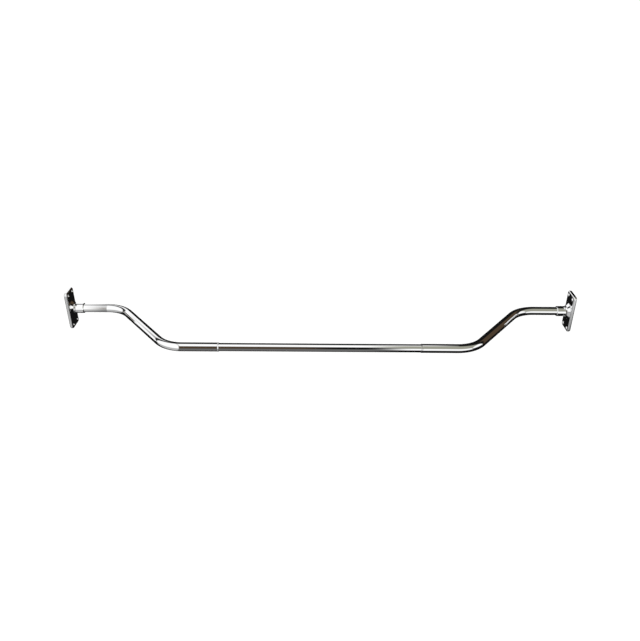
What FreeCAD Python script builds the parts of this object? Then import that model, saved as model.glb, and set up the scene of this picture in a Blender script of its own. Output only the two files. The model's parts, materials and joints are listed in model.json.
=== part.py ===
import FreeCAD, Part
import math
import os

from FreeCAD import Vector

# Wall-to-wall pull-up bar with a forward bow, in millimetres.
#
# Frame: the origin is the centre of the left wall plate's wall face, on the axis of both wall sockets.
# +X runs to the right wall, -Y is the way the bar bows out and +Z is up.
# Everything is modelled at the left end, and the right end is its mirror image about mid-span.

# ---- driving dimensions ----
SPAN = 1550.0  # wall to wall
BOW = 227.0  # how far the grip bar stands forward of the socket axis
ARM_OD = 25.4
ARM_WALL = 1.0
BEND_RADIUS = 95.0  # to the tube's centre line
STUB_CORNER_X = 163.0  # where the stub's line meets the slanting run's line
BAR_CORNER_X = 344.0  # where the slanting run's line meets the grip bar's line
MOUTH_X = 492.0  # open end of the arm, where the centre tube comes out
CENTRE_OD = 23.2
CENTRE_WALL = 1.5
INSERTED = 55.0  # length of centre tube hidden in each arm

# ---- wall end ----
PAD_THICK = 2.0
PAD_INSET = 2.0  # the pad stops this far inside the plate's outline
PLATE_HIGH = 120.0
PLATE_WIDE = 56.0
PLATE_THICK = 8.0
PLATE_CORNER = 8.0
PLATE_EDGE_ROUND = 3.0
HOLE_PITCH_Z = 98.0
HOLE_PITCH_Y = 34.0
HOLE_RADIUS = 2.75
SINK_RADIUS = 5.2
SINK_DEPTH = 2.6
BALL_RADIUS = 17.0
BALL_CLEARANCE = 0.1
BALL_X = 13.5  # centre of the swivel ball
BALL_BACK_X = 2.6  # the ball is cut flat here
BOSS_BASE_RADIUS = 24.0
BOSS_MOUTH_RADIUS = 18.0
BOSS_MOUTH_X = 17.0
RING_RADIUS = 23.0
RING_THICK = 3.5
RING_SCREW_RADIUS = 19.8  # pitch radius of the ring's four screws
RING_SCREW_R = 1.45
RING_SCREW_HEAD_R = 2.6
RING_SCREW_LONG = 7.0

# ---- socket ----
COLLAR_RADIUS = 15.6
COLLAR_MOUTH_X = 46.0
COLLAR_CHAMFER = 1.0
SOCKET_BORE_RADIUS = 12.8
SOCKET_STOP_X = 20.0  # the arm's end stops here
SOCKET_WEIGHT_BORE = 9.0
SET_SCREW_X = 34.5
SET_SCREW_R = 3.0
SET_SCREW_PROUD = 1.2

# ---- joint between arm and centre tube ----
TRIM_RADIUS = 13.05
TRIM_OVER_ARM = 2.6
TRIM_LIP = 1.4
TRIM_MOUTH_ROUND = 0.9
PLUG_DEEP = 18.0
PLUG_FLANGE = 2.0
BOLT_R = 4.0
BOLT_HEAD_FLATS = 13.0
BOLT_HEAD_THICK = 5.3
BOLT_TIP = 25.0  # bolt tip beyond the tube's end
SLEEVE_START = 3.0
SLEEVE_LONG = 16.0
SLEEVE_RADIUS = 11.6
SLEEVE_SMALL_R = 4.6
SLEEVE_LARGE_R = 9.2
SLEEVE_SLOT = 2.2
CONE_START = 8.0
CONE_LONG = 13.0
CONE_GAP = 0.2
KEY_WIDE = 1.6  # the cone's key runs in the sleeve's slot
KEY_TOP = 10.8

RUN_GAP = 0.1  # running clearance between sliding and turning parts
BEYOND = 1.0  # how far a cutting tool runs past the face it cuts

ARM_ID = ARM_OD - 2 * ARM_WALL
CENTRE_ID = CENTRE_OD - 2 * CENTRE_WALL
PLATE_BACK_X = PAD_THICK
PLATE_FRONT_X = PAD_THICK + PLATE_THICK
RING_FRONT_X = PLATE_BACK_X + RING_THICK
SEAT_RADIUS = BALL_RADIUS + BALL_CLEARANCE
TUBE_END_X = MOUTH_X - INSERTED  # end of the centre tube, inside the arm
BALL_CENTRE = Vector(BALL_X, 0, 0)
ALONG = Vector(1, 0, 0)


# ---- small shape helpers ----
def rod(radius, x0, x1):
    """A round bar along X, on the socket axis."""
    return Part.makeCylinder(radius, x1 - x0, Vector(x0, 0, 0), ALONG)


def taper(r0, r1, x0, x1):
    """A cone along X, with radius r0 at x0 and r1 at x1."""
    return Part.makeCone(r0, r1, x1 - x0, Vector(x0, 0, 0), ALONG)


def ball(radius):
    """A sphere about the swivel's centre, with its poles on the socket axis."""
    return Part.makeSphere(radius, BALL_CENTRE, ALONG)


def slab(high, wide, corner, x0, x1):
    """A flat plate across X with rounded corners, centred on the socket axis."""
    box = Part.makeBox(x1 - x0, wide, high, Vector(x0, -wide / 2, -high / 2))
    upright = [e for e in box.Edges if abs(e.tangentAt(e.FirstParameter).x) > 0.99]
    return box.makeFillet(corner, upright)


def hexagon(flats, x0, x1):
    """A hexagonal prism along X."""
    radius = flats / 2 / math.cos(math.radians(30))
    corners = [
        Vector(x0, radius * math.cos(math.radians(60 * k)), radius * math.sin(math.radians(60 * k)))
        for k in range(7)
    ]
    return Part.Face(Part.makePolygon(corners)).extrude(Vector(x1 - x0, 0, 0))


def bored(shape, *tools):
    """The shape with each tool cut out of it."""
    for tool in tools:
        shape = shape.cut(tool)
    return shape


def joined(first, *others):
    """Shapes fused into one solid with the seams between coplanar faces removed."""
    for other in others:
        first = first.fuse(other)
    return first.removeSplitter()


def at(shape, y, z):
    """A copy of a shape moved across the socket axis."""
    moved = shape.copy()
    moved.translate(Vector(0, y, z))
    return moved


def bolt_places():
    """(y, z) of the four wall screw holes."""
    return [(sy * HOLE_PITCH_Y / 2, sz * HOLE_PITCH_Z / 2) for sy in (-1, 1) for sz in (-1, 1)]


def ring_screw_places():
    """(y, z) of the four screws that hold the seat ring."""
    angles = [math.radians(45 + 90 * k) for k in range(4)]
    return [(RING_SCREW_RADIUS * math.cos(a), RING_SCREW_RADIUS * math.sin(a)) for a in angles]


# ---- wall end ----
def wall_plate():
    """Cast plate with a rounded rim, a coned boss around the ball's front seat, and four sunk holes."""
    body = slab(PLATE_HIGH, PLATE_WIDE, PLATE_CORNER, PLATE_BACK_X, PLATE_FRONT_X)
    rim = [e for e in body.Edges if abs(e.BoundBox.XMin - PLATE_FRONT_X) < 0.01]
    body = body.makeFillet(PLATE_EDGE_ROUND, rim)
    body = joined(body, taper(BOSS_BASE_RADIUS, BOSS_MOUTH_RADIUS, PLATE_FRONT_X, BOSS_MOUTH_X))
    body = bored(
        body,
        rod(RING_RADIUS + RUN_GAP, PLATE_BACK_X - BEYOND, RING_FRONT_X),
        rod(SEAT_RADIUS, RING_FRONT_X - BEYOND, BALL_X),
        ball(SEAT_RADIUS),
    )
    hole = rod(HOLE_RADIUS, PLATE_BACK_X - BEYOND, PLATE_FRONT_X + BEYOND)
    sink = taper(HOLE_RADIUS, SINK_RADIUS, PLATE_FRONT_X - SINK_DEPTH, PLATE_FRONT_X)
    for y, z in bolt_places():
        body = bored(body, at(hole, y, z), at(sink, y, z))
    tapped = rod(RING_SCREW_R + RUN_GAP / 2, RING_FRONT_X - BEYOND, PLATE_BACK_X + RING_SCREW_LONG + 0.5)
    for y, z in ring_screw_places():
        body = bored(body, at(tapped, y, z))
    return body


def backing_pad():
    """Rubber pad between the plate and the wall, open in the middle for the ball's back."""
    pad = slab(
        PLATE_HIGH - 2 * PAD_INSET,
        PLATE_WIDE - 2 * PAD_INSET,
        PLATE_CORNER - PAD_INSET,
        0,
        PAD_THICK,
    )
    pad = bored(pad, rod(BALL_RADIUS, -BEYOND, PAD_THICK + BEYOND))
    hole = rod(HOLE_RADIUS, -BEYOND, PAD_THICK + BEYOND)
    for y, z in bolt_places():
        pad = bored(pad, at(hole, y, z))
    return pad


def seat_ring():
    """Ring that holds the ball into the plate from behind."""
    ring = rod(RING_RADIUS, PLATE_BACK_X, RING_FRONT_X)
    ring = bored(ring, ball(SEAT_RADIUS))
    hole = rod(RING_SCREW_R + RUN_GAP, PLATE_BACK_X - BEYOND, RING_FRONT_X + BEYOND)
    sink_deep = RING_SCREW_HEAD_R - RING_SCREW_R
    sink = taper(
        RING_SCREW_HEAD_R + RUN_GAP, RING_SCREW_R + RUN_GAP, PLATE_BACK_X, PLATE_BACK_X + sink_deep
    )
    for y, z in ring_screw_places():
        ring = bored(ring, at(hole, y, z), at(sink, y, z))
    return ring


def seat_screws():
    """The ring's four countersunk screws, one solid each."""
    head_deep = RING_SCREW_HEAD_R - RING_SCREW_R
    head = taper(RING_SCREW_HEAD_R, RING_SCREW_R, PLATE_BACK_X, PLATE_BACK_X + head_deep)
    shank = rod(RING_SCREW_R, PLATE_BACK_X + head_deep, PLATE_BACK_X + RING_SCREW_LONG)
    drive = hexagon(2.0, PLATE_BACK_X - BEYOND, PLATE_BACK_X + 1.3)
    screw = bored(joined(head, shank), drive)
    return Part.makeCompound([at(screw, y, z) for y, z in ring_screw_places()])


def socket():
    """Ball-ended collar that takes the arm's end, with a tapped hole underneath."""
    back = rod(BALL_RADIUS + BEYOND, BALL_X - BALL_RADIUS - BEYOND, BALL_BACK_X)
    collar = rod(COLLAR_RADIUS, BALL_X, COLLAR_MOUTH_X)
    rim = [e for e in collar.Edges if abs(e.BoundBox.XMin - COLLAR_MOUTH_X) < 0.01]
    body = joined(bored(ball(BALL_RADIUS), back), collar.makeChamfer(COLLAR_CHAMFER, rim))
    tapped = Part.makeCylinder(
        SET_SCREW_R + RUN_GAP / 2, 2 * COLLAR_RADIUS, Vector(SET_SCREW_X, 0, 0), Vector(0, 0, -1)
    )
    return bored(
        body,
        rod(SOCKET_WEIGHT_BORE, BALL_BACK_X - BEYOND, SOCKET_STOP_X + BEYOND),
        rod(SOCKET_BORE_RADIUS, SOCKET_STOP_X, COLLAR_MOUTH_X + BEYOND),
        tapped,
    )


def set_screw():
    """Socket-head grub screw that grips the arm's end from below."""
    top = -(ARM_OD / 2 + 0.15)
    bottom = -(COLLAR_RADIUS + SET_SCREW_PROUD)
    screw = Part.makeCylinder(SET_SCREW_R, top - bottom, Vector(0, 0, bottom))
    rim = [e for e in screw.Edges if abs(e.BoundBox.ZMax - bottom) < 0.01]
    screw = screw.makeChamfer(0.5, rim)
    key = hexagon(3.0, 0, 2.4)
    key.rotate(Vector(0, 0, 0), Vector(0, 1, 0), -90)
    key.translate(Vector(0, 0, bottom - 0.01))
    screw = bored(screw, key)
    screw.translate(Vector(SET_SCREW_X, 0, 0))
    return screw


# ---- bent arm ----
def arm_path():
    """Centre line of the arm: stub, bend, slanting run, bend, grip length."""
    start = Vector(SOCKET_STOP_X + 3 * RUN_GAP, 0, 0)
    stub_corner = Vector(STUB_CORNER_X, 0, 0)
    bar_corner = Vector(BAR_CORNER_X, -BOW, 0)
    end = Vector(MOUTH_X, -BOW, 0)
    slant = bar_corner - stub_corner
    turn = math.atan2(BOW, BAR_CORNER_X - STUB_CORNER_X)
    tangent = BEND_RADIUS * math.tan(turn / 2)
    slant.normalize()
    half = turn / 2
    reach = BEND_RADIUS / math.cos(half) - BEND_RADIUS  # from a corner to the middle of its arc
    inward = Vector(-math.sin(half), -math.cos(half), 0) * reach
    in_1, out_1 = stub_corner - ALONG * tangent, stub_corner + slant * tangent
    in_2, out_2 = bar_corner - slant * tangent, bar_corner + ALONG * tangent
    return Part.Wire(
        [
            Part.LineSegment(start, in_1).toShape(),
            Part.Arc(in_1, stub_corner + inward, out_1).toShape(),
            Part.LineSegment(out_1, in_2).toShape(),
            Part.Arc(in_2, bar_corner - inward, out_2).toShape(),
            Part.LineSegment(out_2, end).toShape(),
        ]
    )


def arm():
    """Bent tube from the socket to the mouth that the centre tube slides in."""
    path = arm_path()
    start = path.Edges[0].valueAt(path.Edges[0].FirstParameter)
    outer = Part.Wire(Part.makeCircle(ARM_OD / 2, start, ALONG))
    inner = Part.Wire(Part.makeCircle(ARM_ID / 2, start, ALONG))
    solid = path.makePipeShell([outer], True, False)
    core = path.makePipeShell([inner], True, False)
    return bored(solid, core)


def trim_ring():
    """Thin ferrule pressed over the arm's open end, with a rolled mouth."""
    start, end = MOUTH_X - TRIM_OVER_ARM, MOUTH_X + TRIM_LIP
    ring = rod(TRIM_RADIUS, start, end)
    mouth = [e for e in ring.Edges if abs(e.BoundBox.XMin - end) < 0.01]
    ring = ring.makeFillet(TRIM_MOUTH_ROUND, mouth)
    ring = bored(
        ring,
        rod(ARM_OD / 2, start - BEYOND, MOUTH_X),
        rod(CENTRE_OD / 2 + RUN_GAP, MOUTH_X - BEYOND, end + BEYOND),
    )
    ring.translate(Vector(0, -BOW, 0))
    return ring


# ---- centre tube and its twist locks; each is made on the X axis, then moved to the grip bar ----
def on_grip_bar(shape):
    """Moves a shape from the socket axis to the grip bar's axis."""
    shape.translate(Vector(0, -BOW, 0))
    return shape


def outward(distance):
    """X of a point that lies a distance beyond the centre tube's left end, inside the arm."""
    return TUBE_END_X - distance


def centre_tube():
    """Straight grip tube that slides and turns in both arms."""
    first, last = TUBE_END_X, SPAN - TUBE_END_X
    tube = bored(
        rod(CENTRE_OD / 2, first, last),
        rod(CENTRE_ID / 2, first - BEYOND, last + BEYOND),
    )
    return on_grip_bar(tube)


def lock_plug():
    """Plug pressed into the centre tube's end, which carries the lock bolt."""
    stem = rod(CENTRE_ID / 2, TUBE_END_X, TUBE_END_X + PLUG_DEEP)
    flange = rod(CENTRE_OD / 2 - 0.3, outward(PLUG_FLANGE), TUBE_END_X)
    bore = rod(BOLT_R + RUN_GAP / 2, outward(PLUG_FLANGE + BEYOND), TUBE_END_X + PLUG_DEEP + BEYOND)
    return on_grip_bar(bored(joined(stem, flange), bore))


def lock_bolt():
    """Bolt through the plug, on which the cone nut runs."""
    seat = TUBE_END_X + PLUG_DEEP
    head = hexagon(BOLT_HEAD_FLATS, seat, seat + BOLT_HEAD_THICK)
    shank = rod(BOLT_R, outward(BOLT_TIP), seat)
    tip = [e for e in shank.Edges if abs(e.BoundBox.XMax - outward(BOLT_TIP)) < 0.01]
    return on_grip_bar(joined(shank.makeChamfer(0.8, tip), head))


def lock_sleeve():
    """Split sleeve that the cone nut spreads against the inside of the arm."""
    near, far = outward(SLEEVE_START), outward(SLEEVE_START + SLEEVE_LONG)
    sleeve = bored(
        rod(SLEEVE_RADIUS, far, near),
        taper(SLEEVE_LARGE_R, SLEEVE_SMALL_R, far, near),
    )
    slot = Part.makeBox(
        SLEEVE_LONG + 2 * BEYOND,
        SLEEVE_SLOT,
        SLEEVE_RADIUS + BEYOND,
        Vector(far - BEYOND, -SLEEVE_SLOT / 2, 0),
    )
    return on_grip_bar(bored(sleeve, slot))


def sleeve_cone_radius(distance):
    """Radius of the sleeve's tapered bore at a distance beyond the tube's end."""
    share = (distance - SLEEVE_START) / SLEEVE_LONG
    return SLEEVE_SMALL_R + share * (SLEEVE_LARGE_R - SLEEVE_SMALL_R)


def lock_cone():
    """Cone nut on the lock bolt, keyed to the sleeve. A twist of the centre tube draws it in."""
    end = CONE_START + CONE_LONG
    nut = taper(
        sleeve_cone_radius(end) - CONE_GAP,
        sleeve_cone_radius(CONE_START) - CONE_GAP,
        outward(end),
        outward(CONE_START),
    )
    key = Part.makeBox(CONE_LONG, KEY_WIDE, KEY_TOP, Vector(outward(end), -KEY_WIDE / 2, 0))
    return on_grip_bar(
        bored(joined(nut, key), rod(BOLT_R + RUN_GAP, outward(end + BEYOND), TUBE_END_X))
    )


def mirrored(shape):
    """The right end's copy of a left-end shape."""
    return shape.mirror(Vector(SPAN / 2, 0, 0), ALONG)


def main():
    ends = {
        "wall_plate": wall_plate(),
        "backing_pad": backing_pad(),
        "seat_ring": seat_ring(),
        "seat_screws": seat_screws(),
        "socket": socket(),
        "set_screw": set_screw(),
        "arm": arm(),
        "trim_ring": trim_ring(),
        "lock_plug": lock_plug(),
        "lock_bolt": lock_bolt(),
        "lock_sleeve": lock_sleeve(),
        "lock_cone": lock_cone(),
    }
    nodes = {"centre_tube": centre_tube()}
    for name, shape in ends.items():
        nodes["left_" + name] = shape
        nodes["right_" + name] = mirrored(shape)
    os.makedirs("parts", exist_ok=True)
    for name, shape in sorted(nodes.items()):
        shape.exportStep(f"parts/{name}.step")
        solids = shape.Solids
        volume = sum(s.Volume for s in solids) / 1000
        print(f"{name}: {len(solids)} solid(s), {volume:.2f} cm3, valid {shape.isValid()}")


main()
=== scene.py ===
import json
import math

import bmesh
import bpy
from mathutils import Matrix, Vector
from mathutils.geometry import delaunay_2d_cdt


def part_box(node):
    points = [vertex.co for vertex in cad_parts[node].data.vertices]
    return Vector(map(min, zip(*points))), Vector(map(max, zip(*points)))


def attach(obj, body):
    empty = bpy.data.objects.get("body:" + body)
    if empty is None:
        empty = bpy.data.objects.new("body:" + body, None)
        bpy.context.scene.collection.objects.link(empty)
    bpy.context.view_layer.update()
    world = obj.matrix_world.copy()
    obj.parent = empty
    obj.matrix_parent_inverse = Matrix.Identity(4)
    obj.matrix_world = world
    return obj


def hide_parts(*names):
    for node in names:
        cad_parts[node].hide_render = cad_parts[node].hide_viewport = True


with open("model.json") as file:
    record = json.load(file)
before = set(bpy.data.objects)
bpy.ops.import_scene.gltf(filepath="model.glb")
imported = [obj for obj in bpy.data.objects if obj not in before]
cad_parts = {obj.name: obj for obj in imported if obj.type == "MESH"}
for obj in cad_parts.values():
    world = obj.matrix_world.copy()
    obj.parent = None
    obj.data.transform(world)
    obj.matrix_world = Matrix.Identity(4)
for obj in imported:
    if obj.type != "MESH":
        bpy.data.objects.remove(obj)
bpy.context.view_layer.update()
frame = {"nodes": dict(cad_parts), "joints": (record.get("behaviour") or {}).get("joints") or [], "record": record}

# A chrome wall-to-wall bar that bows forward. All sizes are in metres, in the frame's own axes:
# the origin is the left plate's wall face on the socket axis, +X runs to the right wall, -Y is forward.
# Each piece is built at the left end, and its right-hand copy is the mirror image about mid-span.
MM = 0.001


# ---- sizes from the frame ----
def span_of(node):
    """Lowest and highest corner of a CAD node."""
    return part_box(node)


pad_high = span_of("left_backing_pad")[1]
plate_low, plate_high = span_of("left_wall_plate")
ring_low, ring_high = span_of("left_seat_ring")
socket_low, socket_high = span_of("left_socket")
arm_low, arm_high = span_of("left_arm")
trim_low, trim_high = span_of("left_trim_ring")
tube_low, tube_high = span_of("centre_tube")
grub_low, grub_high = span_of("left_set_screw")
mounts = {m["name"]: m for m in frame["record"]["mounts"]}
joints = {j["name"]: j for j in frame["joints"]}
hole_dims = mounts["left_wall_holes"]["dims"]

SPAN = span_of("right_backing_pad")[1].x
BOW = -(tube_low.y + tube_high.y) / 2
ARM_R = arm_high.z
TUBE_R = tube_high.z
BALL_X = joints["left_tilt"]["pos_m"][0]
HOLE_R = hole_dims["hole_r_mm"] * MM
HOLE_Y = hole_dims["spacing_x_mm"] * MM / 2
HOLE_Z = hole_dims["spacing_y_mm"] * MM / 2
RING_R = ring_high.z

# ---- sizes that the frame's boxes don't show ----
ARM_WALL = 1.0 * MM
TUBE_WALL = 1.5 * MM
BEND_R = 95.0 * MM
STUB_CORNER_X = 163.0 * MM
BAR_CORNER_X = 344.0 * MM
PLATE_FRONT = 10.0 * MM
PLATE_CORNER = 8.0 * MM
PLATE_ROUND = 3.0 * MM
PAD_CORNER = 6.0 * MM
PAD_HOLE_R = 17.0 * MM
SINK_R = 5.2 * MM
SINK_DEEP = 2.6 * MM
SEAT_R = 17.1 * MM
BALL_R = 17.0 * MM
BOSS_BASE_R = 24.0 * MM
BOSS_MOUTH_R = 18.0 * MM
POCKET_R = 23.1 * MM
COLLAR_R = 15.6 * MM
SOCKET_BORE_R = 12.8 * MM
SOCKET_STOP_X = 20.0 * MM
SOCKET_HOLLOW_R = 9.0 * MM
RING_SCREW_PITCH_R = 19.8 * MM
RING_SCREW_R = 1.45 * MM
RING_SCREW_HEAD_R = 2.6 * MM
RING_SCREW_LONG = 7.0 * MM
GRUB_R = 3.0 * MM
GRUB_WELL_R = 3.1 * MM
GRUB_WELL_DEEP = 2.6 * MM
GRUB_WELL_LEAD = 0.4 * MM
SMALL_ROUND = 0.35 * MM  # broken edges on the metal parts
PLAY = 0.1 * MM  # between a screw and its hole, and between the lip and the tube

AROUND = 96  # points round a tube, collar or boss
AROUND_HOLE = 32
AROUND_SCREW = 48
ROUND_STEPS = 6


# ---- mesh building ----
class Skin:
    """A closed mesh made from rings of points."""

    def __init__(self):
        self.points = []
        self.faces = []

    def ring(self, points):
        """Adds points and returns their numbers."""
        first = len(self.points)
        self.points.extend(Vector(p) for p in points)
        return list(range(first, len(self.points)))

    def bridge(self, a, b):
        """Quads between two rings of the same length."""
        for i in range(len(a)):
            j = (i + 1) % len(a)
            self.faces.append((a[i], a[j], b[j], b[i]))

    def tunnel(self, rings, closed=False):
        """Quads along a run of rings, and from the last back to the first if closed."""
        for a, b in zip(rings, rings[1:]):
            self.bridge(a, b)
        if closed:
            self.bridge(rings[-1], rings[0])

    def cap(self, ring):
        """One face across a ring."""
        self.faces.append(tuple(ring))

    def flat(self, outer, inners):
        """Fills a flat region across X between an outer ring and the rings inside it."""
        owner = {}
        edges = []
        order = []
        for number, loop in enumerate([outer] + inners):
            first = len(order)
            order.extend(loop)
            count = len(loop)
            edges.extend((first + i, first + (i + 1) % count) for i in range(count))
            owner.update((first + i, number) for i in range(count))
        flat_points = [self.points[i].yz for i in order]
        triangles = delaunay_2d_cdt(flat_points, edges, [], 1, 1e-9)[2]
        for triangle in triangles:
            loops = {owner[i] for i in triangle}
            if loops == {0} or len(loops) > 1:
                self.faces.append(tuple(order[i] for i in triangle))

    def build(self, name, grain=None):
        """The finished object. grain gives each point its place along the metal's polishing marks."""
        mesh = bpy.data.meshes.new(name)
        mesh.from_pydata(self.points, [], self.faces)
        shape = bmesh.new()
        shape.from_mesh(mesh)
        bmesh.ops.recalc_face_normals(shape, faces=shape.faces)
        shape.to_mesh(mesh)
        shape.free()
        marks = mesh.attributes.new("grain", "FLOAT_VECTOR", "POINT")
        flat = [c for p in (grain or self.points) for c in p]
        marks.data.foreach_set("vector", flat)
        for face in mesh.polygons:
            face.use_smooth = True
        thing = bpy.data.objects.new(name, mesh)
        bpy.context.scene.collection.objects.link(thing)
        return thing


def circle(x, radius, y=0.0, z=0.0, count=AROUND):
    """A ring of points across X."""
    turns = [2 * math.pi * k / count for k in range(count)]
    return [Vector((x, y + radius * math.cos(t), z + radius * math.sin(t))) for t in turns]


def rounded_profile(corners):
    """A closed outline of (x, r, rounding radius) corners as a list of (x, r), with arcs at its corners."""
    outline = []
    for here in range(len(corners)):
        x, r, radius = corners[here]
        at = Vector((x, r))
        if not radius:
            outline.append(at)
            continue
        before = (Vector(corners[here - 1][:2]) - at).normalized()
        after = (Vector(corners[(here + 1) % len(corners)][:2]) - at).normalized()
        half = before.angle(after) / 2
        middle = at + (before + after).normalized() * (radius / math.sin(half))
        start = at + before * (radius / math.tan(half)) - middle
        sweep = math.copysign(math.pi - 2 * half, after.angle_signed(before))
        for k in range(ROUND_STEPS + 1):
            outline.append(middle + Matrix.Rotation(sweep * k / ROUND_STEPS, 2) @ start)
    return outline


def arc(centre_x, radius, angle_0, angle_1, steps):
    """Points (x, r, 0) on a sphere's outline about a centre on the axis. Angles run from +X."""
    step = (angle_1 - angle_0) / steps
    angles = [angle_0 + step * k for k in range(steps + 1)]
    return [(centre_x + radius * math.cos(a), radius * math.sin(a), 0) for a in angles]


def lathe(name, corners, y):
    """A closed outline turned about a line along X."""
    skin = Skin()
    rings = [skin.ring(circle(x, r, y)) for x, r in rounded_profile(corners)]
    skin.tunnel(rings, closed=True)
    return skin.build(name)


def rounded_box(x, half_y, half_z, corner):
    """A rounded rectangle across X."""
    points = []
    steps = 10
    for place, (sy, sz) in enumerate(((1, 1), (-1, 1), (-1, -1), (1, -1))):
        middle = Vector((x, sy * (half_y - corner), sz * (half_z - corner)))
        for k in range(steps + 1):
            turn = math.pi / 2 * (place + k / steps)
            points.append(middle + Vector((0, math.cos(turn), math.sin(turn))) * corner)
    return points


def bolt_places():
    """(y, z) of the four wall screw holes."""
    return [(sy * HOLE_Y, sz * HOLE_Z) for sy in (-1, 1) for sz in (-1, 1)]


def ring_screw_places():
    """(y, z) of the seat ring's four screws."""
    turns = [math.pi / 4 + math.pi / 2 * k for k in range(4)]
    return [(RING_SCREW_PITCH_R * math.cos(t), RING_SCREW_PITCH_R * math.sin(t)) for t in turns]


def quarter(steps):
    """(share of the way in, share of the way up) along a quarter round."""
    turns = [math.pi / 2 * k / steps for k in range(steps + 1)]
    return [(1 - math.cos(t), math.sin(t)) for t in turns]


def mirrored(thing, name):
    """The right-hand copy of a left-hand piece."""
    mesh = thing.data.copy()
    mesh.transform(Matrix.Translation((SPAN, 0, 0)) @ Matrix.Scale(-1, 4, (1, 0, 0)))
    mesh.flip_normals()
    mesh.name = name
    copy = bpy.data.objects.new(name, mesh)
    bpy.context.scene.collection.objects.link(copy)
    return copy


# ---- tubes ----
def arm_path():
    """Points and directions along the left arm's centre line, closer together in the bends."""
    stub_corner = Vector((STUB_CORNER_X, 0, 0))
    bar_corner = Vector((BAR_CORNER_X, -BOW, 0))
    slant = (bar_corner - stub_corner).normalized()
    along = Vector((1, 0, 0))
    turn = slant.angle(along)
    tangent = BEND_R * math.tan(turn / 2)
    path = []

    def straight(a, b, pieces):
        path.extend((a.lerp(b, k / pieces), (b - a).normalized()) for k in range(pieces))

    def bend(start, heading, sign, pieces):
        side = Vector((heading.y, -heading.x, 0)) * sign
        centre = start + side * BEND_R
        for k in range(pieces):
            swing = Matrix.Rotation(-sign * turn * k / pieces, 3, "Z")
            path.append((centre - swing @ side * BEND_R, swing @ heading))

    start = Vector((arm_low.x, 0, 0))
    first_in = stub_corner - along * tangent
    first_out = stub_corner + slant * tangent
    second_in = bar_corner - slant * tangent
    second_out = bar_corner + along * tangent
    end = Vector((arm_high.x, -BOW, 0))
    straight(start, first_in, 10)
    bend(first_in, along, 1, 36)
    straight(first_out, second_in, 20)
    bend(second_in, slant, -1, 36)
    straight(second_out, end, 10)
    path.append((end, along))
    return path


def swept_tube(name, path, radius, wall):
    """A tube along a flat path, with its four rims broken."""
    skin = Skin()
    broken = 0.25 * MM
    grain = []
    lengths = [0.0]
    for (a, _), (b, _) in zip(path, path[1:]):
        lengths.append(lengths[-1] + (b - a).length)

    def ring(at, heading, r, length):
        side = Vector((heading.y, -heading.x, 0))
        turns = [2 * math.pi * k / AROUND for k in range(AROUND)]
        grain.extend((r * math.cos(t), r * math.sin(t), length) for t in turns)
        return skin.ring(at + (side * math.cos(t) + Vector((0, 0, 1)) * math.sin(t)) * r for t in turns)

    def wall_rings(r, inset):
        rings = []
        for k, ((at, heading), length) in enumerate(zip(path, lengths)):
            pull = broken * ((k == 0) - (k == len(path) - 1))
            rings.append(ring(at + heading * pull, heading, r, length))
        first, last = path[0], path[-1]
        rings.insert(0, ring(first[0], first[1], r + inset, 0.0))
        rings.append(ring(last[0], last[1], r + inset, lengths[-1]))
        return rings

    outside = wall_rings(radius, -broken)
    inside = wall_rings(radius - wall, broken)
    skin.tunnel(outside + inside[::-1], closed=True)
    return skin.build(name, grain)


def centre_tube():
    """The straight grip tube."""
    start = Vector((tube_low.x, -BOW, 0))
    end = Vector((tube_high.x, -BOW, 0))
    pieces = 40
    path = [(start.lerp(end, k / pieces), Vector((1, 0, 0))) for k in range(pieces + 1)]
    return swept_tube("grip_tube", path, TUBE_R, TUBE_WALL)


def trim_ring():
    """The thin ferrule pressed over the arm's mouth, with a rolled lip."""
    low, high, bead = trim_low.x, trim_high.x, trim_high.z
    lip = TUBE_R + PLAY
    corners = [
        (low, ARM_R, 0),
        (low, bead, 0.25 * MM),
        (high, bead, 1.2 * MM),
        (high, lip, 0.2 * MM),
        (arm_high.x, lip, 0),
        (arm_high.x, ARM_R, 0),
    ]
    return lathe("left_bead", corners, -BOW)


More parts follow.
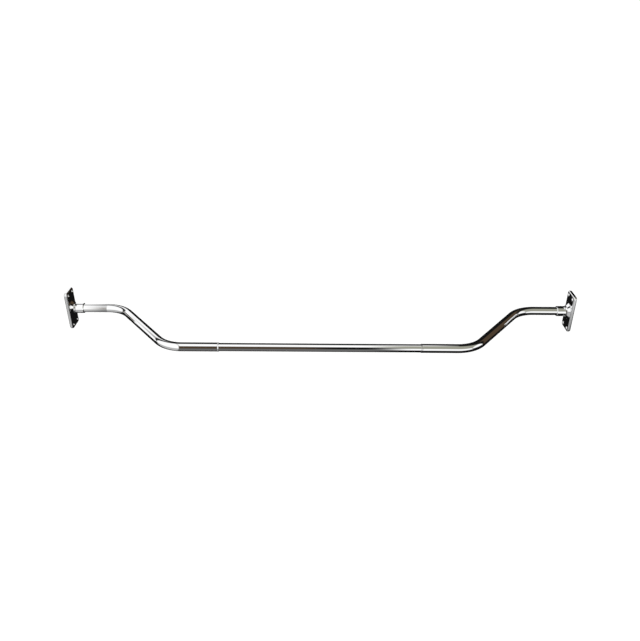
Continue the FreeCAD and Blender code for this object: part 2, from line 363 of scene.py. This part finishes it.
# ---- wall end ----
def wall_plate():
    """The cast plate: rounded rim, coned boss, ball seat, sunk holes and the seat ring's pocket."""
    skin = Skin()
    half_y, half_z, back = plate_high.y, plate_high.z, plate_low.x
    broken = SMALL_ROUND
    rim = [skin.ring(rounded_box(back, half_y - broken, half_z - broken, PLATE_CORNER - broken))]
    rim.append(skin.ring(rounded_box(back + broken, half_y, half_z, PLATE_CORNER)))
    for inward, up in quarter(10):
        inset = PLATE_ROUND * inward
        x = PLATE_FRONT - PLATE_ROUND * (1 - up)
        rim.append(skin.ring(rounded_box(x, half_y - inset, half_z - inset, PLATE_CORNER - inset)))
    skin.tunnel(rim)

    # the boss, from the flat front over its mouth and down the ball's seat to the pocket's floor
    foot = 1.2 * MM  # rounding at the boss's foot
    mouth_round = 0.6 * MM
    flat_r = BOSS_BASE_R + 4 * foot
    pocket_floor = ring_high.x
    seat_turn = math.acos((plate_high.x - BALL_X) / SEAT_R)
    seat = arc(BALL_X, SEAT_R, seat_turn, math.pi / 2, 8)
    boss_corners = [(PLATE_FRONT, flat_r, 0), (PLATE_FRONT, BOSS_BASE_R, foot)]
    boss_corners += [(plate_high.x, BOSS_MOUTH_R, mouth_round)] + seat + [(pocket_floor, SEAT_R, 0)]
    outline = rounded_profile(boss_corners + [(pocket_floor, flat_r, 0)])[1:-1]
    boss = [skin.ring(circle(x, r)) for x, r in outline]
    skin.tunnel(boss)

    fronts, backs = [boss[0]], []
    for y, z in bolt_places():
        run = [
            (PLATE_FRONT, SINK_R + 0.3 * MM),
            (PLATE_FRONT - 0.1 * MM, SINK_R),
            (PLATE_FRONT - SINK_DEEP, HOLE_R),
            (back, HOLE_R),
        ]
        rings = [skin.ring(circle(x, r, y, z, AROUND_HOLE)) for x, r in run]
        skin.tunnel(rings)
        fronts.append(rings[0])
        backs.append(rings[-1])
    skin.flat(rim[-1], fronts)

    # the pocket for the seat ring, and its four blind screw holes
    pocket = [skin.ring(circle(x, POCKET_R)) for x in (back, pocket_floor)]
    skin.tunnel(pocket)
    blinds = []
    blind_end = back + RING_SCREW_LONG + 0.5 * MM
    for y, z in ring_screw_places():
        mouth = skin.ring(circle(pocket_floor, RING_SCREW_R + PLAY / 2, y, z, AROUND_HOLE))
        end = skin.ring(circle(blind_end, RING_SCREW_R, y, z, AROUND_HOLE))
        skin.bridge(mouth, end)
        skin.cap(end)
        blinds.append(mouth)
    skin.flat(pocket[1], [boss[-1]] + blinds)
    skin.flat(rim[0], [pocket[0]] + backs)
    return skin.build("left_plate")


def backing_pad():
    """The moulded rubber pad behind the plate."""
    skin = Skin()
    half_y, half_z, thick = pad_high.y, pad_high.z, pad_high.x
    edge = 0.5 * MM
    lead = edge / 2
    rim = []
    for inward, up in quarter(4):
        inset = edge * (1 - up)
        size = (half_y - inset, half_z - inset, PAD_CORNER - inset)
        rim.append(skin.ring(rounded_box(edge * inward, *size)))
    for inward, up in reversed(quarter(4)):
        inset = edge * (1 - up)
        size = (half_y - inset, half_z - inset, PAD_CORNER - inset)
        rim.append(skin.ring(rounded_box(thick - edge * inward, *size)))
    skin.tunnel(rim)
    lips = [[], []]
    openings = [(0.0, 0.0, PAD_HOLE_R, AROUND)]
    openings += [(y, z, HOLE_R, AROUND_HOLE) for y, z in bolt_places()]
    for y, z, radius, count in openings:
        run = [(0.0, radius + lead), (lead, radius), (thick - lead, radius), (thick, radius + lead)]
        rings = [skin.ring(circle(x, r, y, z, count)) for x, r in run]
        skin.tunnel(rings)
        lips[0].append(rings[0])
        lips[1].append(rings[-1])
    skin.flat(rim[0], lips[0])
    skin.flat(rim[-1], lips[1])
    return skin.build("left_pad")


def seat_ring():
    """The ring that closes the ball's seat, with four sunk holes."""
    skin = Skin()
    back, front = ring_low.x, ring_high.x
    seat_0 = math.acos((front - BALL_X) / SEAT_R)
    seat_1 = math.acos((back - BALL_X) / SEAT_R)
    seat = [(x, r) for x, r, _ in arc(BALL_X, SEAT_R, seat_0, seat_1, 6)]
    outside = [(back, RING_R - SMALL_ROUND), (back + SMALL_ROUND, RING_R)]
    outside += [(front - SMALL_ROUND, RING_R), (front, RING_R - SMALL_ROUND)]
    outer = [skin.ring(circle(x, r)) for x, r in outside]
    inner = [skin.ring(circle(x, r)) for x, r in seat]
    skin.tunnel(outer)
    skin.tunnel(inner)
    backs, fronts = [], []
    sink_deep = RING_SCREW_HEAD_R - RING_SCREW_R
    sink_r = RING_SCREW_HEAD_R + PLAY
    hole_r = RING_SCREW_R + PLAY
    run = [(back, sink_r), (back + sink_deep, hole_r), (front, hole_r)]
    for y, z in ring_screw_places():
        rings = [skin.ring(circle(x, r, y, z, AROUND_HOLE)) for x, r in run]
        skin.tunnel(rings)
        backs.append(rings[0])
        fronts.append(rings[-1])
    skin.flat(outer[0], [inner[-1]] + backs)
    skin.flat(outer[-1], [inner[0]] + fronts)
    return skin.build("left_keeper")


def hexagon(x, flats, y, z):
    """A ring of points on a hexagon across X."""
    points = []
    for k in range(AROUND_SCREW):
        turn = 2 * math.pi * k / AROUND_SCREW
        off = (turn + math.pi / 6) % (math.pi / 3) - math.pi / 6
        reach = flats / 2 / math.cos(off)
        points.append(Vector((x, y + reach * math.cos(turn), z + reach * math.sin(turn))))
    return points


def screw_skin(skin, run, key_flats, key_deep, y=0.0, z=0.0):
    """Adds a screw pointing along +X: its outline from head to tip, and the hexagon recess in its head."""
    face_x = run[0][0]
    rings = [skin.ring(circle(x, r, y, z, AROUND_SCREW)) for x, r in run]
    skin.tunnel(rings)
    skin.cap(rings[-1])
    lead = 0.15 * MM
    recess = [
        skin.ring(hexagon(face_x, key_flats + 2 * lead, y, z)),
        skin.ring(hexagon(face_x + lead, key_flats, y, z)),
        skin.ring(hexagon(face_x + key_deep, key_flats, y, z)),
        skin.ring(circle(face_x + key_deep * 1.25, key_flats * 0.12, y, z, AROUND_SCREW)),
    ]
    skin.bridge(rings[0], recess[0])
    skin.tunnel(recess)
    skin.cap(recess[-1])


def seat_screws():
    """The seat ring's four countersunk screws."""
    skin = Skin()
    back = ring_low.x
    head_deep = RING_SCREW_HEAD_R - RING_SCREW_R
    tip = 0.4 * MM
    key_flats = 2.0 * MM
    key_deep = 1.3 * MM
    run = [
        (back, RING_SCREW_HEAD_R - 0.15 * MM),
        (back + 0.12 * MM, RING_SCREW_HEAD_R - 0.05 * MM),
        (back + head_deep, RING_SCREW_R),
        (back + RING_SCREW_LONG - tip, RING_SCREW_R),
        (back + RING_SCREW_LONG, RING_SCREW_R - tip),
    ]
    for y, z in ring_screw_places():
        screw_skin(skin, run, key_flats, key_deep, y, z)
    return skin.build("left_keeper_screws")


def set_screw():
    """The grub screw under the socket, built along X and then turned to point up."""
    skin = Skin()
    long = grub_high.z - grub_low.z
    chamfer = 0.5 * MM
    tip = 0.3 * MM
    key_flats = 3.0 * MM
    key_deep = 2.4 * MM
    run = [(0.0, GRUB_R - chamfer), (0.12 * MM, GRUB_R - 0.7 * chamfer), (chamfer, GRUB_R)]
    run += [(long - tip, GRUB_R), (long, GRUB_R - tip)]
    screw_skin(skin, run, key_flats, key_deep)
    upright = Matrix.Rotation(-math.pi / 2, 4, "Y")
    place = Matrix.Translation(((grub_low.x + grub_high.x) / 2, 0, grub_low.z))
    skin.points = [place @ upright @ p for p in skin.points]
    return skin.build("left_grub_screw")


def socket():
    """The ball-ended collar, with a sunk hole underneath for the set screw."""
    skin = Skin()
    mouth = socket_high.x
    back = socket_low.x
    back_turn = math.acos((back - BALL_X) / BALL_R)
    neck_turn = math.asin(COLLAR_R / BALL_R)
    step = 2 * math.pi * COLLAR_R / AROUND
    screw_x = (grub_low.x + grub_high.x) / 2
    reach = 5  # squares each way from the set screw's hole that are laid out afresh
    belt = [(screw_x + step * k, COLLAR_R, 0) for k in range(-reach, reach + 1)]
    neck_x = BALL_X + BALL_R * math.cos(neck_turn) + 0.25 * MM
    chamfer = 1.0 * MM
    lead = 0.4 * MM
    corners = [(back, SOCKET_HOLLOW_R, 0)] + arc(BALL_X, BALL_R, back_turn, neck_turn * 1.02, 20)
    corners += [(neck_x, COLLAR_R, 0), (belt[0][0] - 4 * step, COLLAR_R, 0)]
    corners += belt
    corners += [
        (mouth - chamfer, COLLAR_R, 0.5 * MM),
        (mouth, COLLAR_R - chamfer, 0.3 * MM),
        (mouth, SOCKET_BORE_R + lead, 0),
        (mouth - lead, SOCKET_BORE_R, 0),
        (SOCKET_STOP_X, SOCKET_BORE_R, 0),
        (SOCKET_STOP_X, SOCKET_HOLLOW_R, 0),
    ]
    outline = rounded_profile(corners)
    rings = [skin.ring(circle(x, r)) for x, r in outline]
    skin.tunnel(rings, closed=True)

    # open a square of faces round the hole, and lead it into a round, sunk rim
    below = 3 * AROUND // 4
    first = min(range(len(outline)), key=lambda k: (outline[k] - Vector(belt[0][:2])).length)
    square = []
    size = 2 * reach
    square += [rings[first + k][below - reach] for k in range(size)]
    square += [rings[first + size][below - reach + k] for k in range(size)]
    square += [rings[first + size - k][below + reach] for k in range(size)]
    square += [rings[first][below + reach - k] for k in range(size)]
    inside = {
        rings[first + i][below - reach + j] for i in range(size + 1) for j in range(size + 1)
    }
    skin.faces = [face for face in skin.faces if not set(face) <= inside]

    def rim(radius, sunk):
        """A circle about the screw's axis, wrapped on the collar or sunk under it."""
        points = []
        for number in square:
            p = skin.points[number]
            flat = Vector((p.x - screw_x, p.y)).normalized() * radius
            height = math.sqrt((COLLAR_R - sunk) ** 2 - flat.y**2)
            points.append(Vector((screw_x + flat.x, flat.y, -height)))
        return points

    well_run = [
        (GRUB_WELL_R + 1.0 * MM, 0),
        (GRUB_WELL_R + GRUB_WELL_LEAD, 0),
        (GRUB_WELL_R, GRUB_WELL_LEAD),
        (GRUB_WELL_R, GRUB_WELL_DEEP),
    ]
    well = [square] + [skin.ring(rim(radius, sunk)) for radius, sunk in well_run]
    skin.tunnel(well)
    skin.cap(well[-1])
    return skin.build("left_collar")


# ---- materials ----
def shader(name):
    """An empty material's node tree and its main shader."""
    material = bpy.data.materials.new(name)
    material.use_nodes = True
    tree = material.node_tree
    return material, tree, tree.nodes["Principled BSDF"]


def add(tree, kind, inputs=None, **settings):
    """Adds a node, sets its settings, and fills its inputs with values or links."""
    node = tree.nodes.new(kind)
    for key, value in settings.items():
        setattr(node, key, value)
    for key, value in (inputs or {}).items():
        if isinstance(value, bpy.types.NodeSocket):
            tree.links.new(value, node.inputs[key])
        else:
            node.inputs[key].default_value = value
    return node


def noise(tree, place, scale, detail, rough, stretch=(1, 1, 1)):
    """A noise value, 0 to 1, over a place stretched by three factors."""
    mapped = add(tree, "ShaderNodeMapping", {"Vector": place, "Scale": stretch})
    made = add(
        tree,
        "ShaderNodeTexNoise",
        {"Vector": mapped.outputs["Vector"], "Scale": scale, "Detail": detail, "Roughness": rough},
    )
    return made.outputs["Fac"]


def spread(tree, value, low, high, to_low=0.0, to_high=1.0):
    """Maps a value from low..high to to_low..to_high, clamped."""
    made = add(
        tree,
        "ShaderNodeMapRange",
        {"Value": value, "From Min": low, "From Max": high, "To Min": to_low, "To Max": to_high},
    )
    return made.outputs["Result"]


def blend_colour(tree, share, a, b):
    """A colour between a and b."""
    made = add(tree, "ShaderNodeMix", {"Factor": share, "A": a, "B": b}, data_type="RGBA")
    return made.outputs["Result"]


def total(tree, a, b, operation="ADD"):
    """One sum, product or other operation on two values."""
    return add(tree, "ShaderNodeMath", {0: a, 1: b}, operation=operation).outputs[0]


def feed(tree, bsdf, values):
    """Links values to the shader's inputs of those names."""
    for name, value in values.items():
        tree.links.new(value, bsdf.inputs[name])


def bumps(tree, layers):
    """Stacks bump layers of (height, distance, strength) and returns the normal."""
    normal = None
    for height, distance, strength in layers:
        inputs = {"Height": height, "Distance": distance, "Strength": strength}
        if normal:
            inputs["Normal"] = normal
        normal = add(tree, "ShaderNodeBump", inputs).outputs["Normal"]
    return normal


def chrome(name, drawn):
    """Bright chrome plate. Drawn tube has polishing marks along it; castings have none."""
    material, tree, bsdf = shader(name)
    if drawn:
        place = add(tree, "ShaderNodeAttribute", attribute_name="grain").outputs["Vector"]
        stretch = (1, 1, 0.012)
    else:
        place = add(tree, "ShaderNodeTexCoord").outputs["Object"]
        stretch = (1, 1, 1)
    marks = noise(tree, place, 2600, 4, 0.6, stretch)
    smear = noise(tree, place, 38, 4, 0.6, (1, 1, 0.35))
    wave = noise(tree, place, 16, 1, 0.4, (1, 1, 0.6))
    cloud = noise(tree, place, 11, 3, 0.6)
    pits = add(tree, "ShaderNodeTexVoronoi", {"Vector": place, "Scale": 420.0}).outputs["Distance"]
    pit = spread(tree, pits, 0.035, 0.06, 1.0, 0.0)
    polish = spread(tree, marks, 0.35, 0.75, 0.015, 0.04)
    hands = spread(tree, smear, 0.55, 0.8, 0.0, 0.05)
    roughness = total(tree, polish, hands)
    tone = blend_colour(tree, cloud, (0.84, 0.85, 0.865, 1), (0.90, 0.895, 0.885, 1))
    layers = [(wave, 0.03 * MM, 0.4), (marks, 0.004 * MM, 0.25), (pit, -0.01 * MM, 0.4)]
    values = {
        "Base Color": blend_colour(tree, pit, tone, (0.55, 0.55, 0.56, 1)),
        "Roughness": total(tree, roughness, spread(tree, pit, 0, 1, 0, 0.2)),
        "Normal": bumps(tree, layers),
    }
    feed(tree, bsdf, values)
    bsdf.inputs["Metallic"].default_value = 1.0
    return material


def plated_steel(name, light, dark, rough_low, rough_high, tint):
    """Zinc-plated or blackened steel: cloudy tone, patches of tint and fine grain."""
    material, tree, bsdf = shader(name)
    place = add(tree, "ShaderNodeTexCoord").outputs["Object"]
    cloud = noise(tree, place, 160, 5, 0.65)
    grain = noise(tree, place, 2200, 3, 0.6)
    hue = spread(tree, noise(tree, place, 45, 2, 0.5), 0.45, 0.7)
    tone = blend_colour(tree, spread(tree, cloud, 0.3, 0.7), dark, light)
    values = {
        "Base Color": blend_colour(tree, total(tree, hue, 0.35, "MULTIPLY"), tone, tint),
        "Roughness": spread(tree, grain, 0.3, 0.7, rough_low, rough_high),
        "Normal": bumps(tree, [(grain, 0.01 * MM, 0.4), (cloud, 0.05 * MM, 0.2)]),
    }
    feed(tree, bsdf, values)
    bsdf.inputs["Metallic"].default_value = 1.0
    return material


def rubber():
    """Black moulded rubber with a fine stipple and a little dust."""
    material, tree, bsdf = shader("pad_rubber")
    place = add(tree, "ShaderNodeTexCoord").outputs["Object"]
    stipple = add(tree, "ShaderNodeTexVoronoi", {"Vector": place, "Scale": 900.0}).outputs["Distance"]
    dust = spread(tree, noise(tree, place, 70, 5, 0.7), 0.5, 0.8)
    values = {
        "Base Color": blend_colour(tree, dust, (0.018, 0.018, 0.019, 1), (0.06, 0.058, 0.054, 1)),
        "Roughness": spread(tree, dust, 0, 1, 0.62, 0.85),
        "Normal": bumps(tree, [(stipple, 0.12 * MM, 0.5)]),
    }
    feed(tree, bsdf, values)
    bsdf.inputs["Specular IOR Level"].default_value = 0.35
    return material


def nylon():
    """Natural nylon with faint flow marks."""
    material, tree, bsdf = shader("lock_nylon")
    place = add(tree, "ShaderNodeTexCoord").outputs["Object"]
    flow = noise(tree, place, 90, 4, 0.6, (0.3, 1, 1))
    grain = noise(tree, place, 1500, 2, 0.5)
    values = {
        "Base Color": blend_colour(tree, flow, (0.70, 0.67, 0.58, 1), (0.80, 0.78, 0.71, 1)),
        "Roughness": spread(tree, grain, 0.3, 0.7, 0.38, 0.52),
        "Normal": bumps(tree, [(grain, 0.02 * MM, 0.3), (flow, 0.1 * MM, 0.15)]),
    }
    feed(tree, bsdf, values)
    return material


# ---- pieces onto bodies ----
def dress(thing, material, body, slot_name, node):
    """Gives a rebuilt piece its material and body, and hides the CAD node that it stands for. Its slot name is not
    used.
    """
    thing.data.materials.clear()
    thing.data.materials.append(material)
    weigh = thing.modifiers.new("even_shading", "WEIGHTED_NORMAL")
    weigh.weight = 80
    weigh.keep_sharp = True
    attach(thing, body)
    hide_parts(node)


def place_pieces():
    """Builds every shown piece at both ends and gives the hidden lock parts their finish."""
    tube_chrome = chrome("chrome_drawn", True)
    cast_chrome = chrome("chrome_cast", False)
    zinc = plated_steel(
        "zinc_plate",
        light=(0.66, 0.67, 0.68, 1),
        dark=(0.50, 0.51, 0.52, 1),
        rough_low=0.22,
        rough_high=0.38,
        tint=(0.70, 0.66, 0.50, 1),
    )
    black = plated_steel(
        "black_oxide",
        light=(0.06, 0.06, 0.065, 1),
        dark=(0.03, 0.03, 0.033, 1),
        rough_low=0.35,
        rough_high=0.5,
        tint=(0.09, 0.07, 0.06, 1),
    )
    casting = plated_steel(
        "zinc_casting",
        light=(0.50, 0.51, 0.52, 1),
        dark=(0.36, 0.37, 0.39, 1),
        rough_low=0.4,
        rough_high=0.6,
        tint=(0.45, 0.44, 0.42, 1),
    )
    pad_rubber = rubber()
    lock_nylon = nylon()

    dress(centre_tube(), tube_chrome, "grip", "chrome", "centre_tube")
    bent_tube = swept_tube("left_bent_tube", arm_path(), ARM_R, ARM_WALL)
    left_pieces = [
        (bent_tube, tube_chrome, "bent_arm", "chrome", "arm"),
        (trim_ring(), cast_chrome, "bent_arm", "bright_chrome", "trim_ring"),
        (socket(), cast_chrome, "swivel", "chrome", "socket"),
        (set_screw(), black, "swivel", "black_steel", "set_screw"),
        (wall_plate(), cast_chrome, "wall_end", "chrome", "wall_plate"),
        (backing_pad(), pad_rubber, "wall_end", "rubber", "backing_pad"),
        (seat_ring(), zinc, "wall_end", "zinc_steel", "seat_ring"),
        (seat_screws(), zinc, "wall_end", "zinc_steel", "seat_screws"),
    ]
    for thing, material, body, slot_name, node in left_pieces:
        twin = mirrored(thing, thing.name.replace("left_", "right_"))
        dress(thing, material, "left_" + body, slot_name, "left_" + node)
        dress(twin, material, "right_" + body, slot_name, "right_" + node)
    hidden = {"lock_plug": lock_nylon, "lock_sleeve": lock_nylon, "lock_bolt": zinc, "lock_cone": casting}
    for side in ("left_", "right_"):
        for node, material in hidden.items():
            mesh = frame["nodes"][side + node].data
            mesh.materials.clear()
            mesh.materials.append(material)


# ---- room, light and camera ----
FLOOR_BELOW = 2.0  # the bar hangs this far above the floor
FLOOR_HALF = 40.0
SCREEN_GAMMA = 2.2
DIM_ROOM = 0.10  # the grey of the room between the cards
CARD_EDGE_TURN = 7.0  # degrees either side of a card's edge over which it fades
CARD_EDGE_STRETCH = 0.04
CHROME_TONE = 0.87  # share of light that the chrome mirrors
ROOM_LIGHT = 1.12
SOFTBOX_POWER = 40.0


def floor():
    """A plain pale floor."""
    mesh = bpy.data.meshes.new("floor")
    h = FLOOR_HALF
    corners = [(-h, -h, -FLOOR_BELOW), (h, -h, -FLOOR_BELOW), (h, h, -FLOOR_BELOW), (-h, h, -FLOOR_BELOW)]
    mesh.from_pydata(corners, [], [(0, 1, 2, 3)])
    thing = bpy.data.objects.new("floor", mesh)
    bpy.context.scene.collection.objects.link(thing)
    material, tree, bsdf = shader("floor_paint")
    place = add(tree, "ShaderNodeTexCoord").outputs["Object"]
    cloud = noise(tree, place, 0.8, 3, 0.5)
    paint = blend_colour(tree, cloud, (0.93, 0.93, 0.93, 1), (0.95, 0.95, 0.95, 1))
    feed(tree, bsdf, {"Base Color": paint})
    bsdf.inputs["Roughness"].default_value = 0.9
    bsdf.inputs["Specular IOR Level"].default_value = 0.0
    mesh.materials.append(material)
    thing.visible_glossy = False


def soft_step(tree, value, at, half_width):
    """0 below a place and 1 above it, with a soft edge."""
    inputs = {"Value": value, "From Min": at - half_width, "From Max": at + half_width}
    return add(tree, "ShaderNodeMapRange", inputs, interpolation_type="SMOOTHSTEP").outputs["Result"]


def soft_span(tree, value, span, half_width):
    """1 between two places and 0 outside them, with soft edges."""
    low, high = span
    begun = soft_step(tree, value, low, half_width)
    ended = soft_step(tree, value, high, half_width)
    return total(tree, begun, ended, "SUBTRACT")


def studio():
    """Plain white room. What glossy parts mirror is a dim studio with large soft cards round the bar.

    A card is (turns, stretch, colour). Its turns run about the bar, in degrees: 0 in front, 90 overhead,
    180 behind, 270 or -90 below. Its stretch runs from left, -1, to right, 1, and 1.2 reaches past the
    end. Its colour is as on the screen. A later card lies over the ones before it.
    """
    white = (1.0, 1.0, 1.0, 1)
    brown = (0.3, 0.25, 0.2, 1)
    cards = [
        ((-20, 110), (-1.2, -0.3), white),  # big card on the left, from the front to overhead
        ((130, 200), (-1.2, -0.3), white),  # card behind on the left
        ((-90, -20), (-1.2, -0.3), (0.7, 0.7, 0.7, 1)),  # pale floor on the left
        ((45, 110), (-0.3, 0.2), white),  # overhead card in the middle
        ((-10, 40), (-0.3, 0.0), brown),  # curtain in front of the middle
        ((-80, -10), (-0.3, 0.1), (0.4, 0.4, 0.4, 1)),  # grey table under the middle
        ((-30, 20), (0.1, 0.8), white),  # card in front on the right
        ((20, 90), (0.1, 1.2), (0.6, 0.6, 0.55, 1)),  # cream ceiling on the right
        ((-10, 90), (0.8, 1.2), white),  # end wall on the right
        ((120, 200), (0.5, 1.2), brown),  # curtain behind on the right
    ]
    world = bpy.data.worlds.new("studio")
    bpy.context.scene.world = world
    world.use_nodes = True
    tree = world.node_tree
    tree.nodes.clear()
    ray = add(tree, "ShaderNodeTexCoord").outputs["Generated"]
    parts = add(tree, "ShaderNodeSeparateXYZ", {"Vector": ray}).outputs
    forward = total(tree, parts["Y"], -1.0, "MULTIPLY")
    half_turns = total(tree, total(tree, parts["Z"], forward, "ARCTAN2"), 180 / math.pi, "MULTIPLY")
    turn = add(tree, "ShaderNodeMath", {0: half_turns, 1: 225.0, 2: -135.0}, operation="WRAP").outputs[0]
    seen = (DIM_ROOM, DIM_ROOM, DIM_ROOM, 1)
    for turns, stretch, colour in cards:
        round_bar = soft_span(tree, turn, turns, CARD_EDGE_TURN)
        along_bar = soft_span(tree, parts["X"], stretch, CARD_EDGE_STRETCH)
        share = total(tree, round_bar, along_bar, "MULTIPLY")
        seen = blend_colour(tree, share, seen, colour)
    light = add(tree, "ShaderNodeGamma", {"Color": seen, "Gamma": SCREEN_GAMMA}).outputs["Color"]
    mirror = add(tree, "ShaderNodeBackground", {"Color": light, "Strength": 1 / CHROME_TONE})
    plain = add(tree, "ShaderNodeBackground", {"Color": (1, 1, 1, 1), "Strength": ROOM_LIGHT})
    glossy = add(tree, "ShaderNodeLightPath").outputs["Is Glossy Ray"]
    both = add(tree, "ShaderNodeMixShader", {0: glossy, 1: plain.outputs[0], 2: mirror.outputs[0]})
    add(tree, "ShaderNodeOutputWorld", {"Surface": both.outputs[0]})


def softbox():
    """One soft overhead light that shades the dull parts and isn't mirrored in the glossy ones."""
    lamp = bpy.data.lights.new("softbox", "AREA")
    lamp.shape = "RECTANGLE"
    lamp.size = SPAN * 1.5
    lamp.size_y = SPAN
    lamp.energy = SOFTBOX_POWER
    lean = math.radians(-25)
    thing = bpy.data.objects.new("softbox", lamp)
    bpy.context.scene.collection.objects.link(thing)
    thing.location = (SPAN / 2, -SPAN / 2, SPAN)
    thing.rotation_euler = (lean, 0, 0)
    thing.visible_glossy = False


def camera():
    """Looks down on the bar from the front, so that its bow shows."""
    pitch = math.radians(29.0)
    yaw = math.radians(-0.1)
    roll = math.radians(0.33)
    distance = 2.054
    aim_left = 0.5 * MM
    aim_below = 39 * MM
    aim = Vector((SPAN / 2 - aim_left, 0, -aim_below))
    level = math.cos(pitch)
    look = Vector((math.sin(yaw) * level, math.cos(yaw) * level, -math.sin(pitch)))
    data = bpy.data.cameras.new("camera")
    data.sensor_fit = "HORIZONTAL"
    data.sensor_width = 36.0
    data.lens = 37.0
    thing = bpy.data.objects.new("camera", data)
    bpy.context.scene.collection.objects.link(thing)
    thing.location = aim - look * distance
    upright = look.to_track_quat("-Z", "Y")
    thing.rotation_euler = (upright @ Matrix.Rotation(roll, 3, "Z").to_quaternion()).to_euler()
    bpy.context.scene.camera = thing


place_pieces()
floor()
studio()
softbox()
camera()
bpy.context.scene.view_settings.view_transform = "Standard"
